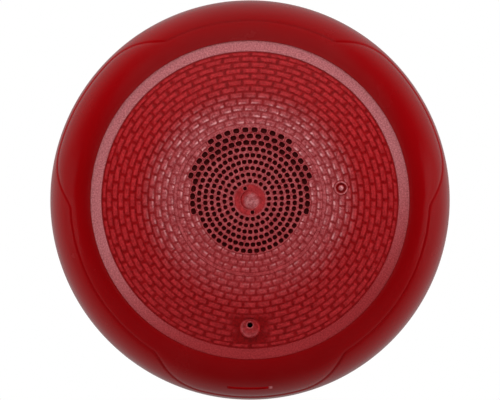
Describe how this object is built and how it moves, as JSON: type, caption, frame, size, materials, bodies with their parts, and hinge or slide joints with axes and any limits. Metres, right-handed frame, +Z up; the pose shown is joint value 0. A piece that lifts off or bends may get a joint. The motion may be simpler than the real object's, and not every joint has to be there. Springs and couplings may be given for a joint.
{
  "type": "alarm siren",
  "caption": "Round wall-mounted alarm siren with a perforated textured dome, swinging on top hooks from a mounting plate and held by a captive screw.",
  "frame": {"origin": "centre of the mounting plate's back face, on the head's axis", "axes": "+Z up, the front faces -Y, +X to the right as seen from the front"},
  "size_m": [0.1728, 0.0576, 0.1728],
  "materials": {
    "plate_ivory": "moulded, fine grain",
    "pin_steel": "drawn bar",
    "zinc_screw": "zinc plated",
    "insert_brass": "machined",
    "terminal_housing": "moulded",
    "terminal_brass": "stamped",
    "bezel_red": "polished moulding",
    "grille_red": "fine textured moulding, bright red",
    "screen_cloth": "woven acoustic cloth, dark red",
    "baffle_black": "moulded",
    "shell_white": "moulded, fine grain",
    "board_green": "solder mask",
    "core_steel": "varnished laminations",
    "bobbin_nylon": "moulded",
    "winding_tape": "wrapped in polyester tape",
    "capacitor_sleeve": "shrunk sleeve",
    "resistor_body": "lacquered",
    "blade_bronze": "spring bronze, formed",
    "switch_black": "moulded",
    "rotor_white": "moulded",
    "gasket_foam": "closed-cell foam",
    "frame_steel": "pressed, black zinc",
    "yoke_steel": "turned, zinc plated",
    "ferrite": "sintered ferrite, ground faces",
    "lead_red": "insulated stranded wire",
    "tag_board": "phenolic sheet",
    "spider_cloth": "impregnated cloth, corrugated",
    "surround_rubber": "moulded half roll",
    "cone_paper": "pressed paper",
    "coil_copper": "enamelled wire on a former"
  },
  "bodies": {
    "mount": {"mounting_plate": "plate_ivory", "hinge_pins": "pin_steel", "threaded_insert": "insert_brass", "terminal_block": "terminal_housing", "terminal_contacts": "terminal_brass", "terminal_clamps": "zinc_screw", "terminal_screws": "zinc_screw"},
    "head": {"bezel": "bezel_red", "grille": "grille_red", "dust_screen": "screen_cloth", "baffle": "baffle_black", "baffle_screws": "zinc_screw", "rear_shell": "shell_white", "shell_screws": "zinc_screw", "circuit_board": "board_green", "board_screws": "zinc_screw", "transformer_core": "core_steel", "transformer_bobbin": "bobbin_nylon", "transformer_winding": "winding_tape", "line_capacitor": "capacitor_sleeve", "board_resistors": "resistor_body", "contact_blades": "blade_bronze", "tap_switch": "switch_black", "voltage_switch": "switch_black", "speaker_gasket": "gasket_foam", "speaker_frame": "frame_steel", "speaker_screws": "zinc_screw", "yoke": "yoke_steel", "magnet": "ferrite", "top_plate": "yoke_steel", "tag_strip": "tag_board", "speaker_leads": "lead_red", "spider": "spider_cloth", "surround": "surround_rubber"},
    "cone": {"cone": "cone_paper", "voice_coil": "coil_copper", "dust_cap": "cone_paper"},
    "tap_rotor": {"tap_rotor": "rotor_white"},
    "voltage_rotor": {"voltage_rotor": "rotor_white"},
    "screw_washer": {"screw_washer": "zinc_screw"},
    "captive_screw": {"captive_screw": "zinc_screw"}
  },
  "joints": [
    {"name": "head_swing", "type": "hinge", "parent": "mount", "child": "head", "pos_m": [0, -0.0065, 0.077], "axis": [-1, 0, 0], "range_deg": [0, 15]},
    {"name": "cone_stroke", "type": "slide", "parent": "head", "child": "cone", "axis": [0, -1, 0], "range_m": [-0.0012, 0.0012], "stiffness_N_per_m": 1500, "deforming": ["surround", "spider"]},
    {"name": "tap_turn", "type": "hinge", "parent": "head", "child": "tap_rotor", "pos_m": [-0.017, -0.0125, -0.024], "axis": [0, 1, 0], "range_deg": [0, 150]},
    {"name": "voltage_turn", "type": "hinge", "parent": "head", "child": "voltage_rotor", "pos_m": [0.017, -0.0125, -0.024], "axis": [0, 1, 0], "range_deg": [0, 90]},
    {"name": "screw_withdraw", "type": "slide", "parent": "head", "child": "screw_washer", "axis": [0, -1, 0], "range_m": [0, 0.006]},
    {"name": "screw_turn", "type": "hinge", "parent": "screw_washer", "child": "captive_screw", "pos_m": [0, -0.0145, -0.0538], "axis": [0, -1, 0], "range_deg": [0, 2725]}
  ],
  "couplings": [
    {"joint": "screw_turn", "follows": "screw_withdraw", "rad_per_m": 7913.3}
  ]
}
